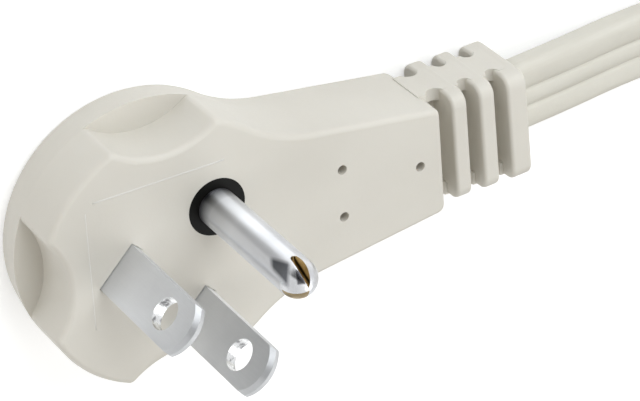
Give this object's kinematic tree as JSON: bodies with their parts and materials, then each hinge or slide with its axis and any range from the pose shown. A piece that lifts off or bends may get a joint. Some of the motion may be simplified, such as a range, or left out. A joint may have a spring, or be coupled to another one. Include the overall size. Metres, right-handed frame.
{
  "type": "grounded flat plug with cord",
  "caption": "Low profile grounded mains plug: flat round head with finger grips, pins square to the face, ribbed strain relief and a flat side cord.",
  "frame": {"origin": "on the flat outer face of the body, on the axis of the round head", "axes": "+X along the cord, away from the head; +Z square to the mating face, the way the pins point; the plug lies on its outer face"},
  "size_m": [0.2189, 0.1225, 0.0333],
  "materials": {
    "body_vinyl": "fine satin moulded vinyl, warm light grey-beige",
    "cord_vinyl": "satin extruded vinyl, light beige",
    "blade_nickel": "satin nickel plating",
    "pin_nickel": "bright nickel plating, bare brass at the cut edges",
    "carrier_black": "satin black moulded plastic",
    "lead_green": "smooth green insulation",
    "copper": "bare stranded copper",
    "tie_black": "smooth black strap"
  },
  "bodies": {
    "root": {"plug_body": "body_vinyl", "pin_carrier": "carrier_black", "line_blade": "blade_nickel", "neutral_blade": "blade_nickel", "ground_pin": "pin_nickel", "line_lead": "cord_vinyl", "neutral_lead": "cord_vinyl", "ground_lead": "lead_green", "line_strands": "copper", "neutral_strands": "copper", "ground_strands": "copper", "cord_root": "cord_vinyl", "cord_run": "cord_vinyl", "cord_coil": "cord_vinyl", "coil_tie": "tie_black", "end_line_lead": "cord_vinyl", "end_neutral_lead": "cord_vinyl", "end_ground_lead": "lead_green", "end_line_strands": "copper", "end_neutral_strands": "copper", "end_ground_strands": "copper"}
  },
  "joints": []
}
